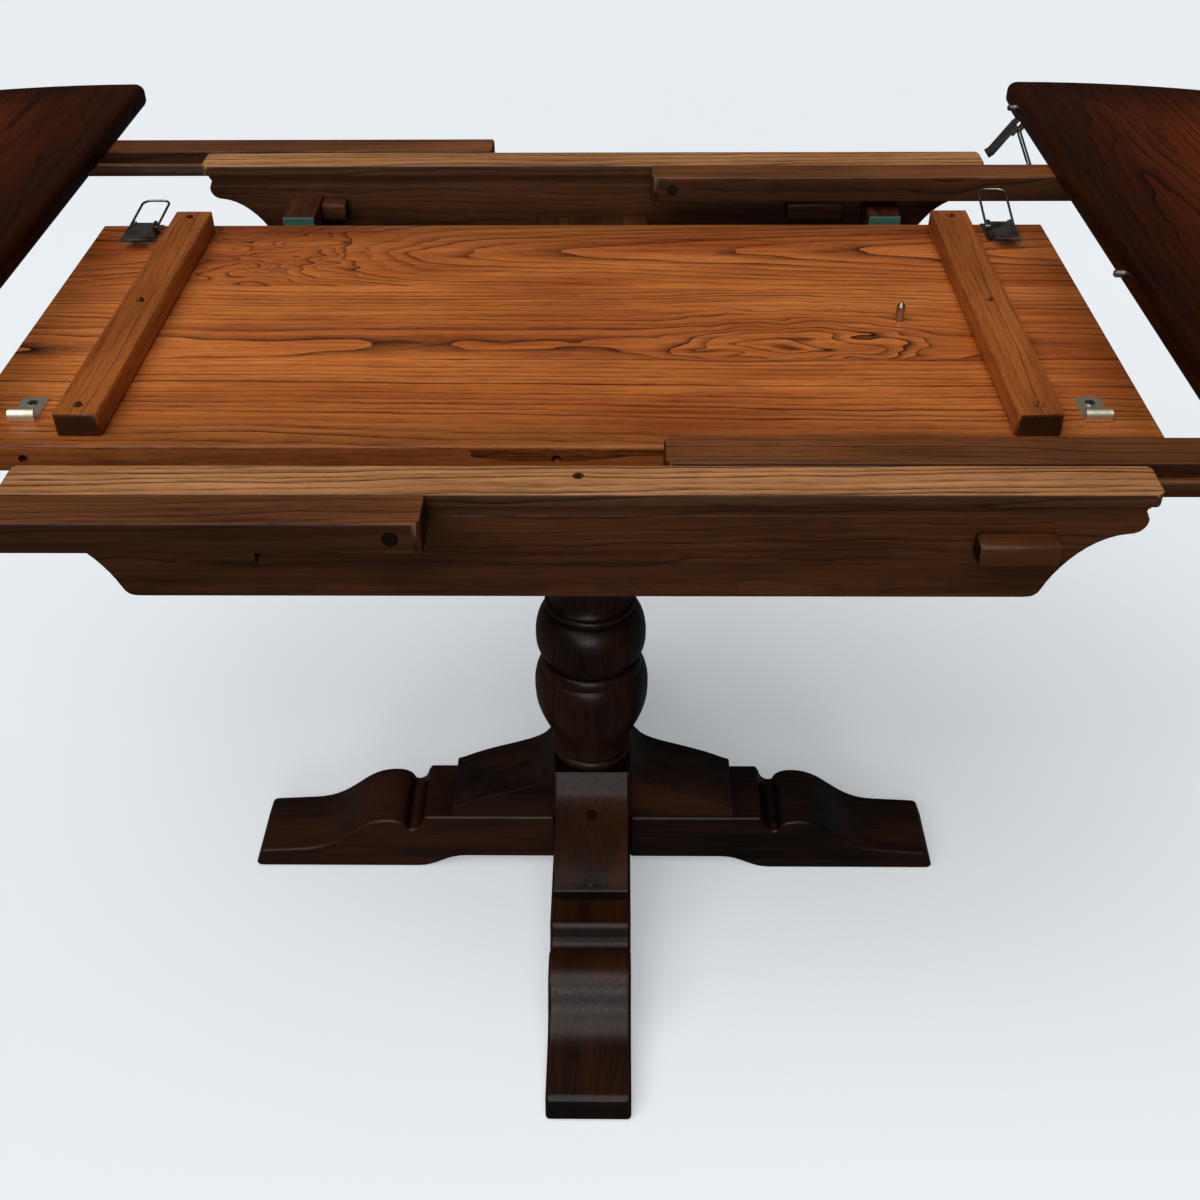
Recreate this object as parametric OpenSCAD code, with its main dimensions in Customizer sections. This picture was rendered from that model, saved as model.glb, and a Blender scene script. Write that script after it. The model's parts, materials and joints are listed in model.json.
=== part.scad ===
// Oval draw-apart pedestal table, with its spare leaf stored upside down between the rails.
// X runs along the draw, Y across the table, Z up. The origin is on the floor, on the post's axis.

/* [Tops] */
// Length of the closed oval along the draw
oval_l = 1200; // [1120:10:1450]
// Width of the oval at the cut
oval_w = 954; // [900:1:1150]
// Thickness of both tops and of the leaf
board_t = 24; // [20:0.5:30]
// Height of the tops' upper face
table_h = 750; // [640:5:900]
// Radius in plan of the corners at the cut
top_corner_r = 12; // [9:1:30]
// Radius of the tops' softened edges
top_edge_r = 8; // [3:1:9]
// Gap in plan between the left top's cut edge and the stored leaf
left_gap = 17; // [2:1:60]
// Gap in plan between the right top's cut edge and the stored leaf
right_gap = 13; // [2:1:60]

/* [Dowel pins between the tops and the leaf] */
// Distance of the outer pins from the ends of their edge
dowel_inset = 57; // [30:1:90]
// Radius of a dowel pin
dowel_r = 3.5; // [2.5:0.5:5]
// How far a pin stands out of its edge
dowel_proud = 9; // [5:1:10]
// Depth of a pin inside its own board
dowel_root = 14; // [10:1:25]
// Clearance around a pin in its hole
dowel_gap = 0.4; // [0.2:0.1:0.8]

/* [Rails] */
// Length of a rail's top strip
strip_l = 822; // [680:1:1000]
// Width of a top strip
strip_w = 38; // [32:1:50]
// Thickness of a top strip
strip_t = 11; // [8:1:16]
// Gap between the stored leaf's edge and the inner runner beside it
well_gap = 38.5; // [38:0.5:60]
// Thickness of a rail board
rail_t = 22; // [18:1:28]
// Depth of a rail board below its strip
rail_h = 86; // [76:1:130]
// Height of the groove along a rail's faces
groove_h = 8; // [4:0.5:9]
// Depth of the groove
groove_t = 2; // [1:0.5:4]
// Distance of the groove below the strip
groove_drop = 6; // [4:0.5:9]
// How far the strip runs past the rail board at each end
strip_overhang = 3; // [1:0.5:8]
// Gap between the strips and the underside of the tops
strip_drop = 1; // [0.5:0.5:3]

/* [Runners] */
// Width of a runner
runner_w = 36; // [28:1:42]
// Height of a runner
runner_h = 26; // [22:1:32]
// How far a runner reaches past its top's cut edge
runner_reach = 408; // [380:2:450]
// Length of an outer runner under the left top
outer_fixed = 350; // [300:5:380]
// Length of an inner runner under the right top
inner_fixed = 390; // [300:5:440]
// Gap between a runner's side and the strip
runner_gap = 1; // [0.5:0.5:4]
// Height of a tongue's underside above its runner's
tongue_lift = 2.5; // [1:0.5:5]
// Clearance around a sliding tongue
slide_gap = 0.5; // [0.3:0.1:1]
// Radius of a runner's stop peg
peg_r = 6; // [4:0.5:8]
// Distance of the stop peg from a runner's inner end
peg_inset = 22; // [15:1:40]

/* [Stop blocks] */
// Length of a stop block
stop_l = 59; // [30:1:72]
// Length of the inner left stop blocks, which end against the guide blocks
short_stop_l = 26; // [16:1:26]
// How far a stop block stands out of the rail
stop_out = 20; // [12:1:30]
// Height of a stop block
stop_h = 20; // [12:1:26]
// Gap between a stop block and the runner above it
stop_drop = 11; // [0.5:0.5:16]
// Distance of the outer left stop blocks from the strip's end
outer_left_inset = 150.5; // [90:0.5:200]
// Distance of the outer right stop blocks from the strip's end
outer_right_inset = 96.5; // [90:0.5:200]
// Distance of the inner right stop blocks from the strip's end
inner_right_inset = 175; // [160:0.5:220]

/* [Cross members] */
// Width of a cross bearer
bearer_w = 32; // [24:1:40]
// Height of a cross bearer
bearer_h = 27; // [20:1:32]
// Distance of a cross bearer from the strip's end
bearer_inset = 108; // [96:1:125]
// Width of the head beam on the post
head_w = 120; // [90:2:160]
// Thickness of the felt under the leaf and up the guide blocks
felt_t = 3; // [1:0.5:4]
// Length of a felt pad
felt_l = 70; // [40:2:90]
// Gap between a guide block's upper face and the runner that passes over it
guide_clear = 10; // [2:0.5:16]
// Gap between the leaf's edge and a guide block
guide_gap = 25.5; // [12:0.5:30]

/* [Leaf] */
// How much the leaf adds to the table's length
leaf_span = 421; // [400:1:506]
// Distance from the post's axis to the stored leaf's middle, leftwards
leaf_shift = 20; // [0:1:30]
// Gap between the stored leaf's face and the top strips' upper face
leaf_drop = 32; // [30:1:45]
// Radius of the leaf's plan corners
leaf_corner_r = 6; // [3:1:12]
// Radius of the leaf's softened edges
leaf_edge_r = 3; // [1:0.5:6]
// Width of a cleat
cleat_w = 37; // [28:1:45]
// Length of a cleat
cleat_l = 394; // [340:2:400]
// Height of a cleat
cleat_h = 21; // [15:1:24]
// Distance of a cleat's centre line from the leaf's end
cleat_inset = 100; // [80:1:124]
// Distance of the locating pin's hole from the strip's centre line, towards the middle
locator_inset = 5; // [0:0.5:10]
// Radius of the locating pin
locator_r = 3.8; // [3:0.2:4]
// Height of the locating pin above the leaf
locator_h = 18; // [12:1:22]

/* [Latches] */
// Distance of the latches and strikers from the end of their edge
latch_inset = 47; // [34:0.5:60]
// Width of a latch base
latch_w = 32; // [32:1:36]
// Length of a latch base
latch_l = 42; // [38:1:50]
// Thickness of the sheet metal
sheet_t = 1.5; // [1:0.1:2]
// Distance from the edge of the board to the lever's hinge pin
hinge_setback = 12; // [10:0.5:15]
// Height of the lever's hinge pin above the board
hinge_h = 6; // [6:0.5:8]
// Radius of the lever's hinge pin
hinge_r = 1.5; // [1.2:0.1:1.6]
// Length of the lever
lever_l = 50; // [40:1:56]
// Distance from the lever's pin to the wire loop's pivot
loop_throw = 7; // [6:0.5:9]
// Radius of the loop's wire
wire_r = 1.2; // [1:0.1:1.3]
// Running clearance of the hinge pin and of the wire, on the radius
hinge_clear = 0.05; // [0.02:0.01:0.09]
// How far the left loop is tipped up on its shut latch
left_loop_tip = 4; // [0:1:22]
// How far the right loop is tipped up on its shut latch, to clear the runner beside it
right_loop_tip = 16; // [15:1:22]
// How far a hanging lever is turned from shut
hang_angle = 125; // [110:1:140]
// Angle of the loop on a hanging lever, from the edge's direction
loop_hang = 116; // [100:1:130]

/* [Strikers] */
// Clearance between a striker and each leg of the wire loop
loop_play = 2.1; // [0.3:0.1:3]
// Length of a striker plate
striker_l = 38; // [30:1:45]
// Distance from the board's edge to the striker's lip
striker_setback = 35; // [30:0.5:36]
// Height of the striker's curled lip
lip_h = 10; // [6:0.5:12]

/* [Feet] */
// Width of a foot and of the post's square block
foot_w = 86; // [72:1:104]
// Reach of the left and right feet from the post's axis
side_reach = 400; // [380:1:480]
// Reach of the front and back feet from the post's axis
front_reach = 371; // [360:1:480]
// Height of a foot's toe
toe_h = 28; // [22:1:36]
// Height of a foot's hump
hump_h = 80; // [70:1:90]
// Height of the flat ledge that carries the bracket
ledge_h = 86; // [84:1:100]
// Distance from the post's axis to the end of the ledge
ledge_reach = 194; // [185:1:200]
// Height of the arch under the middle of a foot
arch_h = 18; // [10:1:26]
// Distance from the post's axis to the end of a bracket
bracket_reach = 161; // [140:1:175]
// Distance of a bracket's top below the top of the post's square block
bracket_drop = 0.5; // [0.5:0.5:15]
// Height of a bracket's outer end
bracket_nose = 14; // [10:1:20]
// Radius of the plugs in the brackets
plug_r = 6; // [4:0.5:8]

/* [Post] */
// Height of the top of the lower square block
block_top = 160; // [150:1:195]
// Largest radius of the lower bulb
bulb_r = 61.5; // [52:0.5:70]
// Largest radius of the upper ring
ring_r = 58.5; // [50:0.5:66]
// Radius of the incised line on the bulb's shoulder
shoulder_r = 56; // [50:0.5:60]
// Radius of the waist between bulb and ring
waist_r = 48; // [40:0.5:54]
// Radius of the neck above the square block
neck_r = 42.5; // [34:0.5:44]
// Radius of the shaft above the ring
shaft_r = 40; // [32:0.5:44]
// Height of the upper square block
head_block_h = 70; // [50:1:90]

/* [Hidden] */
$fn = 48;

DARK_OAK = "#2A160D";
RAIL_OAK = "#3A2416";
STRIP_OAK = "#B07A45";
LEAF_OAK = "#A0602E";
STEEL = "#55504A";
NICKEL = "#C9C4B4";
FELT = "#2F6B5A";

// Heights of the faces that other pieces sit on.
top_under = table_h - board_t;
strip_top = top_under - strip_drop;
strip_under = strip_top - strip_t;
groove_top = strip_under - groove_drop;
rail_bottom = strip_under - rail_h;
runner_under = top_under - runner_h;
stop_top = runner_under - stop_drop;
leaf_face = strip_top - leaf_drop;
leaf_under = leaf_face - board_t;
bearer_top = leaf_under - felt_t;
guide_top = runner_under - guide_clear;

// Places across the table, as distances from its middle line.
leaf_half = leaf_span / 2;
inner_runner_y = leaf_half + well_gap + runner_w / 2;
strip_in = inner_runner_y + runner_w / 2 + runner_gap;
rail_y = strip_in + strip_w / 2;
strip_out = rail_y + strip_w / 2;
rail_in = rail_y - rail_t / 2;
outer_runner_y = strip_out + runner_gap + runner_w / 2;
guide_in = leaf_half + guide_gap;
locator_offset = rail_y - locator_inset;
latch_pitch = oval_w / 2 - latch_inset;
dowel_pitch = oval_w / 2 - dowel_inset;

// Places along the table.
left_draw = oval_w / 2 + leaf_shift + left_gap;
right_draw = oval_w / 2 - leaf_shift + right_gap;
board_end = strip_l / 2 - strip_overhang;
bearer_x = strip_l / 2 - bearer_inset;
cleat_x = oval_w / 2 - cleat_inset;

// The runner's tongue reaches under the strip to just short of the rail.
tongue_out = runner_gap + (strip_w - rail_t) / 2 - slide_gap;
tongue_under = runner_under + tongue_lift;
tongue_h = strip_under - slide_gap - tongue_under;

// Latch sheet metal: ears stand inside the lever's cheeks, and the loop's legs outside them.
leg_y = latch_w / 2 - 2.2;
cheek_y = leg_y - 2.6;
ear_y = cheek_y - 1.6;
cheek_t = 1.2;
loop_corner = 8;
loop_reach = hinge_setback + loop_throw + striker_setback + sheet_t + 2.2 * wire_r;
striker_w = 2 * (leg_y - wire_r - loop_play);

// Radii of the runners' and cleats' plan corners and arrises.
runner_corner_r = 8;
runner_arris_r = 2;
cleat_corner_r = 5;
cleat_arris_r = 3.5;
strip_corner_r = 9;
strip_arris_r = 1.5;
stop_corner_r = 3;
stop_arris_r = 5;

short_screw = 8;
guide_screw = 16;
// The origin is on the floor under the middle of the whole drawn-out table; this brings it there
// from the post's axis, which every module measures from.
centre_shift = (left_draw - right_draw) / 2;
cleat_screw = cleat_h + 4;
cleat_screw_sink = 3;
cleat_screw_r = 4.8;
dowel_point = 1.5;
bracket_h = block_top - bracket_drop - ledge_h;

screw_r = 4;
screw_head_t = 2.5;
shank_r = 2;

// Points on a circle's arc, and on a cubic curve.
function arc(c, r, a0, a1, n = 8) =
    [for (i = [0:n]) let (a = a0 + (a1 - a0) * i / n) c + r * [cos(a), sin(a)]];
function curve(p, n = 10) =
    [for (i = [0:n]) let (t = i / n, s = 1 - t)
        s * s * s * p[0] + 3 * s * s * t * p[1] + 3 * s * t * t * p[2] + t * t * t * p[3]];
function sign_of(side) = side == "left" || side == "front" ? -1 : 1;

// A rectangle with round corners.
module round_rect(size, r) {
    square([size.x - 2 * r, size.y], center = true);
    square([size.x, size.y - 2 * r], center = true);
    for (x = [-1, 1], y = [-1, 1])
        translate([x * (size.x / 2 - r), y * (size.y / 2 - r)]) circle(r);
}

// A board with round plan corners and softened edges, centred on its own middle.
module soft_board(size, corner_r, edge_r) {
    intersection() {
        linear_extrude(size.z, center = true) round_rect([size.x, size.y], corner_r);
        rotate([90, 0, 0])
            linear_extrude(size.y + 2, center = true) round_rect([size.x, size.z], edge_r);
        rotate([90, 0, 90])
            linear_extrude(size.x + 2, center = true) round_rect([size.y, size.z], edge_r);
    }
}

// A screw with its head's face at z = 0 and its shank below.
module screw_body(shank_l, head_r = screw_r) {
    translate([0, 0, -screw_head_t]) cylinder(h = screw_head_t, r = head_r);
    translate([0, 0, -screw_head_t - shank_l]) cylinder(h = shank_l, r = shank_r);
}

module screw(shank_l, head_r = screw_r) {
    difference() {
        screw_body(shank_l, head_r);
        cube([2 * head_r + 1, 1, 1.6], center = true);
    }
}

// ---- Tops ----

// Half-oval outline set in by d, with its cut along x = 0 and its far end at +x.
function half_oval(d) =
    let (a = oval_l / 2, b = oval_w / 2, r = top_corner_r, t0 = acos(r / a))
    concat(
        arc([r, b - r], r - d, 180, 95, 5),
        [for (i = [0:60]) let (
            t = t0 - 2 * t0 * i / 60,
            n = [b * cos(t), a * sin(t)])
            [a * cos(t), b * sin(t)] - d * n / norm(n)],
        arc([r, r - b], r - d, 265, 180, 5));

// Inset and height of each ring of the softened edge, from the underside to the face.
edge_steps = [for (i = [0:4]) let (q = 90 * i / 4)
    top_edge_r * [1 - sin(q), 1 - cos(q)]];
edge_rings = concat(
    edge_steps,
    [for (i = [4:-1:0]) [edge_steps[i][0], board_t - edge_steps[i][1]]]);

module half_oval_board() {
    rings = [for (e = edge_rings) [for (p = half_oval(e[0])) [p.x, p.y, e[1]]]];
    n = len(rings[0]);
    m = len(rings);
    polyhedron(
        points = [for (ring = rings) each ring],
        faces = concat(
            [[for (i = [0:n - 1]) i]],
            [[for (i = [n - 1:-1:0]) (m - 1) * n + i]],
            [for (k = [0:m - 2], i = [0:n - 1])
                each [[k * n + i, (k + 1) * n + i, (k + 1) * n + (i + 1) % n],
                      [k * n + i, (k + 1) * n + (i + 1) % n, k * n + (i + 1) % n]]]));
}

// The three dowel axes of an edge, in a frame whose x axis points out of the edge.
module at_dowels() {
    for (y = [-1, 0, 1])
        translate([0, y * dowel_pitch, 0]) rotate([0, 90, 0]) children();
}

module dowel_bodies() {
    at_dowels() translate([0, 0, -dowel_root]) {
        cylinder(h = dowel_root + dowel_proud - dowel_point, r = dowel_r);
        translate([0, 0, dowel_root + dowel_proud - dowel_point])
            cylinder(h = dowel_point, r1 = dowel_r, r2 = dowel_r - 1.2);
    }
}

module dowel_holes() {
    at_dowels() translate([0, 0, -dowel_proud - 3])
        cylinder(h = dowel_proud + 4, r = dowel_r + dowel_gap);
}

module dowel_roots() {
    at_dowels() translate([0, 0, -dowel_root]) cylinder(h = dowel_root + 1, r = dowel_r);
}

// A frame at the middle of a top's cut edge, with x pointing out of the edge.
module at_cut(side) {
    if (side == "left")
        translate([-left_draw, 0, table_h - board_t / 2]) children();
    else
        translate([right_draw, 0, table_h - board_t / 2]) rotate([0, 0, 180]) children();
}

// Outer runners carry the left top and inner runners the right one.
runner_y = [outer_runner_y, inner_runner_y];
runner_fixed = [outer_fixed, inner_fixed];

module half_top(side) {
    at_cut(side) translate([0, 0, -board_t / 2]) mirror([1, 0, 0]) half_oval_board();
}

module top_left() {
    color(DARK_OAK) difference() {
        half_top("left");
        at_cut("left") dowel_holes();
        at_top_striker_screws() screw_body(short_screw);
    }
}

module top_right() {
    color(DARK_OAK) difference() {
        half_top("right");
        at_cut("right") dowel_roots();
        at_top_latch_screws() screw_body(short_screw);
    }
}

module top_dowels() {
    color(STEEL) at_cut("right") dowel_bodies();
}

// ---- Runners ----

// A runner in its top's edge frame: x = 0 is the cut edge and +x is the free end.
module runner_body(kind, hand) {
    toward_strip = kind == 0 ? -1 : 1;
    length = runner_reach + runner_fixed[kind];
    tongue_l = length - 2 * runner_corner_r;
    translate([(runner_reach - runner_fixed[kind]) / 2, hand * runner_y[kind], -board_t / 2 - runner_h / 2])
        soft_board([length, runner_w, runner_h], runner_corner_r, runner_arris_r);
    translate([
        runner_reach - runner_corner_r - tongue_l / 2,
        hand * (runner_y[kind] + toward_strip * (runner_w / 2 + tongue_out / 2 - 1)),
        tongue_under + tongue_h / 2 - (table_h - board_t / 2)])
        cube([tongue_l, tongue_out + 2, tongue_h], center = true);
}

// The stop peg runs right through the runner, near its free end.
module peg_body(kind, hand, extra) {
    translate([runner_reach - peg_inset, hand * runner_y[kind], -board_t / 2 - runner_h / 2])
        rotate([90, 0, 0]) cylinder(h = runner_w + extra, r = peg_r, center = true);
}

module runner(kind, hand) {
    color(RAIL_OAK) at_cut(kind == 0 ? "left" : "right") difference() {
        runner_body(kind, hand);
        peg_body(kind, hand, 40);
    }
}

module pegs(kind) {
    color(DARK_OAK) at_cut(kind == 0 ? "left" : "right")
        for (hand = [-1, 1]) peg_body(kind, hand, 0);
}

// ---- Rails ----

// One end of a rail board, from its top corner down to its lower edge: a bead over a long cove.
function rail_end() = concat(
    [[board_end - 1, strip_under]],
    arc([board_end - 12, strip_under - 17], 11, 40, -80, 8),
    curve([
        [board_end - 12, strip_under - 28],
        [board_end - 38, strip_under - 30],
        [board_end - 58, rail_bottom + 30],
        [board_end - 66, rail_bottom + 8]]),
    curve([
        [board_end - 66, rail_bottom + 8],
        [board_end - 68, rail_bottom + 2],
        [board_end - 71, rail_bottom],
        [board_end - 78, rail_bottom]], 4));

module rail(side) {
    ends = rail_end();
    color(RAIL_OAK) difference() {
        translate([0, sign_of(side) * rail_y + rail_t / 2, 0]) rotate([90, 0, 0])
            linear_extrude(rail_t)
                polygon(concat(ends, [for (i = [len(ends) - 1:-1:0]) [-ends[i].x, ends[i].y]]));
        for (face = [-1, 1])
            translate([0, sign_of(side) * rail_y + face * rail_t / 2, groove_top - groove_h / 2])
                cube([strip_l, 2 * groove_t, groove_h], center = true);
        if (side == "front") locator_hole();
    }
}

// The hole that takes the leaf's locating pin, through the front strip and into its rail.
module locator_hole() {
    translate([0, -locator_offset, strip_top - locator_h - 3])
        cylinder(h = locator_h + 4, r = locator_r + dowel_gap);
}

module strip(side) {
    color(STRIP_OAK) difference() {
        translate([0, sign_of(side) * rail_y, strip_top - strip_t / 2])
            soft_board([strip_l, strip_w, strip_t], strip_corner_r, strip_arris_r);
        if (side == "front") locator_hole();
    }
}

// A stop block on a rail's face, reaching out by hand = +1 or in by hand = -1.
module stop_block(side, hand, x, length) {
    translate([
        x,
        sign_of(side) * (rail_y + hand * (rail_t + stop_out) / 2),
        stop_top - stop_h / 2])
        soft_board([length, stop_out, stop_h], stop_corner_r, stop_arris_r);
}

module outer_stops(side) {
    color(RAIL_OAK) {
        stop_block(side, 1, outer_left_inset - strip_l / 2, stop_l);
        stop_block(side, 1, strip_l / 2 - outer_right_inset, stop_l);
    }
}

// The left block is short and stands beside the guide block.
module inner_stops(side) {
    color(RAIL_OAK) {
        stop_block(side, -1, -bearer_x + bearer_w / 2 + 0.5 + short_stop_l / 2, short_stop_l);
        stop_block(side, -1, strip_l / 2 - inner_right_inset, stop_l);
    }
}

// ---- Cross members ----

module bearer(side) {
    color(RAIL_OAK) translate([sign_of(side) * bearer_x, 0, bearer_top - bearer_h / 2])
        cube([bearer_w, 2 * rail_in, bearer_h], center = true);
}

module head_beam() {
    color(RAIL_OAK) translate([0, 0, (rail_bottom + bearer_top) / 2])
        cube([head_w, 2 * rail_in, bearer_top - rail_bottom], center = true);
}

module at_pads() {
    for (x = [-1, 1], y = [0, 180])
        translate([x * bearer_x, 0, bearer_top]) rotate([0, 0, y]) children();
}

// Felt lies on the bearers' ends and turns up the guide blocks' faces.
module felt_pads() {
    color(FELT) at_pads() translate([0, guide_in, 0]) {
        translate([0, -felt_l / 2, felt_t / 2]) cube([bearer_w, felt_l, felt_t], center = true);
        translate([0, -felt_t / 2, (guide_top - bearer_top) / 2])
            cube([bearer_w, felt_t, guide_top - bearer_top], center = true);
    }
}

module at_guide_screw() {
    translate([0, rail_in - 14, guide_top - bearer_top]) children();
}

module guides(side) {
    color(RAIL_OAK) translate([sign_of(side) * bearer_x, 0, bearer_top])
        for (turn = [0, 180]) rotate([0, 0, turn]) difference() {
            translate([0, (guide_in + rail_in) / 2, (guide_top - bearer_top) / 2])
                cube([bearer_w, rail_in - guide_in, guide_top - bearer_top], center = true);
            at_guide_screw() screw_body(guide_screw);
        }
}

module guide_screws() {
    color(STEEL) at_pads() at_guide_screw() screw(guide_screw);
}

// ---- Leaf ----

// The stored leaf lies upside down, with its length along the table.
module at_leaf() {
    translate([-leaf_shift, 0, leaf_face]) children();
}

module at_leaf_edge(far) {
    at_leaf() rotate([0, 0, far ? 90 : -90]) translate([leaf_half, 0, -board_t / 2]) children();
}

module at_cleat_screws() {
    for (x = [-1, 1], y = [-1, 0, 1])
        translate([x * cleat_x, y * (cleat_l / 2 - 15), cleat_h - cleat_screw_sink]) children();
}

module cleat_screw_holes() {
    at_cleat_screws() {
        screw_body(cleat_screw, cleat_screw_r);
        cylinder(h = 2 * cleat_screw_sink, r = cleat_screw_r);
    }
}

module locator_body() {
    translate([locator_offset, 0, -12]) {
        cylinder(h = 12 + locator_h - 4, r = locator_r);
        translate([0, 0, 12 + locator_h - 4]) cylinder(h = 4, r1 = locator_r, r2 = 1.2);
    }
}

module leaf_panel() {
    color(LEAF_OAK) difference() {
        at_leaf() translate([0, 0, -board_t / 2])
            soft_board([oval_w, leaf_span, board_t], leaf_corner_r, leaf_edge_r);
        at_leaf_edge(false) dowel_holes();
        at_leaf_edge(true) dowel_roots();
        at_leaf() locator_body();
        at_leaf() cleat_screw_holes();
        leaf_fitting_screws() screw_body(short_screw);
    }
}

module cleat(side) {
    color(LEAF_OAK) at_leaf() difference() {
        translate([sign_of(side) * cleat_x, 0, cleat_h / 2])
            soft_board([cleat_w, cleat_l, cleat_h], cleat_corner_r, cleat_arris_r);
        cleat_screw_holes();
    }
}

module cleat_screws() {
    color(STEEL) at_leaf() at_cleat_screws() screw(cleat_screw, cleat_screw_r);
}

module locating_pin() {
    color(STEEL) at_leaf() locator_body();
}

module leaf_dowels() {
    color(STEEL) at_leaf_edge(true) dowel_bodies();
}

// ---- Strikers and latches ----
// Each is drawn in a frame whose x axis points out over the board's edge, with x = 0 at the edge,
// and whose z axis points away from the board's face, with z = 0 on the face.

module at_leaf_fitting(side, far) {
    at_leaf() translate([sign_of(side) * latch_pitch, (far ? 1 : -1) * leaf_half, 0])
        rotate([0, 0, far ? 90 : -90]) children();
}

module at_top_striker(side) {
    translate([-left_draw, sign_of(side) * latch_pitch, top_under]) rotate([180, 0, 0]) children();
}

module at_top_latch(side) {
    translate([right_draw, sign_of(side) * latch_pitch, top_under]) rotate([0, 180, 0]) children();
}

// Striker section: the plate, then a lip that stands up and curls back over it.
striker_profile = concat(
    [[-striker_setback - striker_l, 0], [-striker_setback - 2, 0]],
    arc([-striker_setback - 2, 2], 2, -90, 0, 5),
    arc([-striker_setback - lip_h / 2, lip_h - lip_h / 2], lip_h / 2, 0, 150, 12),
    arc([-striker_setback - lip_h / 2, lip_h - lip_h / 2], lip_h / 2 - sheet_t, 150, 0, 12),
    arc([-striker_setback - 3, 3], 3 - sheet_t, 0, -90, 5),
    [[-striker_setback - striker_l, sheet_t]]);

module at_striker_screw() {
    translate([-striker_setback - striker_l + 10, 0, sheet_t + 1]) children();
}

module striker() {
    color(NICKEL) difference() {
        rotate([90, 0, 0]) linear_extrude(striker_w, center = true) polygon(striker_profile);
        at_striker_screw() screw_body(short_screw);
    }
}

module at_base_screws() {
    for (y = [-1, 1])
        translate([-hinge_setback - 22, y * 5.5, sheet_t + 0.6]) children();
}

// The base: a plate on the board, with two ears that hold the hinge pin.
module latch_base() {
    color(STEEL) difference() {
        union() {
            translate([-latch_l / 2 - 3, 0, sheet_t / 2]) cube([latch_l, latch_w, sheet_t], center = true);
            for (y = [-1, 1]) translate([-hinge_setback, y * ear_y, 0]) rotate([90, 0, 0]) {
                translate([0, hinge_h, 0]) cylinder(h = cheek_t, r = 3, center = true);
                translate([0, hinge_h / 2, 0]) cube([6, hinge_h, cheek_t], center = true);
            }
        }
        translate([-hinge_setback, 0, hinge_h]) rotate([90, 0, 0])
            cylinder(h = latch_w, r = hinge_r, center = true);
        at_base_screws() screw_body(short_screw);
    }
}

module hinge_pin() {
    translate([-hinge_setback, 0, hinge_h]) rotate([90, 0, 0])
        cylinder(h = 2 * cheek_y + cheek_t + 0.4, r = hinge_r, center = true);
}

// The lever about its hinge pin, lying shut along -x, turned up by an angle.
module lever(angle) {
    color(STEEL) translate([-hinge_setback, 0, hinge_h]) rotate([0, angle, 0]) difference() {
        union() {
            for (y = [-1, 1]) translate([0, y * cheek_y, 0]) rotate([90, 0, 0]) {
                cylinder(h = cheek_t, r = 3.5, center = true);
                translate([-loop_throw, 0, 0]) cylinder(h = cheek_t, r = 3.5, center = true);
                translate([-loop_throw / 2, 0, 0]) cube([loop_throw, 7, cheek_t], center = true);
                translate([-loop_throw - 5, 1.75, 0]) cube([10, 3.5, cheek_t], center = true);
            }
            translate([-loop_throw - 10, 0, 3.5]) rotate([90, 0, 0])
                linear_extrude(2 * cheek_y + cheek_t, center = true) polygon([
                    [11, -0.6], [11, 0.6], [10 + 12 - lever_l, 0.6],
                    [loop_throw + 10 - lever_l, 2.6], [loop_throw + 10 - lever_l, 1.4],
                    [10 + 12.5 - lever_l, -0.6]]);
        }
        rotate([90, 0, 0]) cylinder(h = latch_w, r = hinge_r + hinge_clear, center = true);
        translate([-loop_throw, 0, 0]) rotate([90, 0, 0])
            cylinder(h = latch_w, r = wire_r + hinge_clear, center = true);
    }
}

// The wire loop about its own pivot: two legs along +x joined by a bar with round corners.
module loop_wire() {
    leg = loop_reach - loop_corner - wire_r;
    for (y = [-1, 1]) {
        translate([0, y * leg_y, 0]) sphere(wire_r);
        translate([0, y * leg_y, 0]) rotate([0, 90, 0]) cylinder(h = leg, r = wire_r);
        translate([0, y * (leg_y + ear_y + 1) / 2, 0]) rotate([90, 0, 0])
            cylinder(h = leg_y - ear_y - 1, r = wire_r, center = true);
        translate([leg, y * (leg_y - loop_corner), 0]) rotate([0, 0, y > 0 ? 0 : -90])
            rotate_extrude(angle = 90) translate([loop_corner, 0]) circle(wire_r);
    }
    translate([leg + loop_corner, 0, 0]) rotate([90, 0, 0])
        cylinder(h = 2 * (leg_y - loop_corner), r = wire_r, center = true);
}

// The loop as it hangs from a lever turned to an angle; tip is the loop's own angle above +x.
module loop(angle, tip) {
    color(STEEL) translate([-hinge_setback, 0, hinge_h]) rotate([0, angle, 0])
        translate([-loop_throw, 0, 0]) rotate([0, -angle - tip, 0]) loop_wire();
}

module leaf_fitting_screws() {
    for (side = ["left", "right"]) {
        at_leaf_fitting(side, true) at_base_screws() children();
        at_leaf_fitting(side, false) at_striker_screw() children();
    }
}

// The leaf's small steel pieces: latch and striker screws, and the latches' hinge pins.
module leaf_fittings() {
    color(STEEL) {
        leaf_fitting_screws() screw(short_screw);
        for (side = ["left", "right"]) at_leaf_fitting(side, true) hinge_pin();
    }
}

module at_top_striker_screws() {
    for (side = ["front", "back"]) at_top_striker(side) at_striker_screw() children();
}

module top_striker_screws() {
    color(STEEL) at_top_striker_screws() screw(short_screw);
}

module top_latch_pins() {
    color(STEEL) for (side = ["front", "back"]) at_top_latch(side) hinge_pin();
}

module at_top_latch_screws() {
    for (side = ["front", "back"]) at_top_latch(side) at_base_screws() children();
}

module top_latch_screws() {
    color(STEEL) at_top_latch_screws() screw(short_screw);
}

// ---- Feet and post ----

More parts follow.
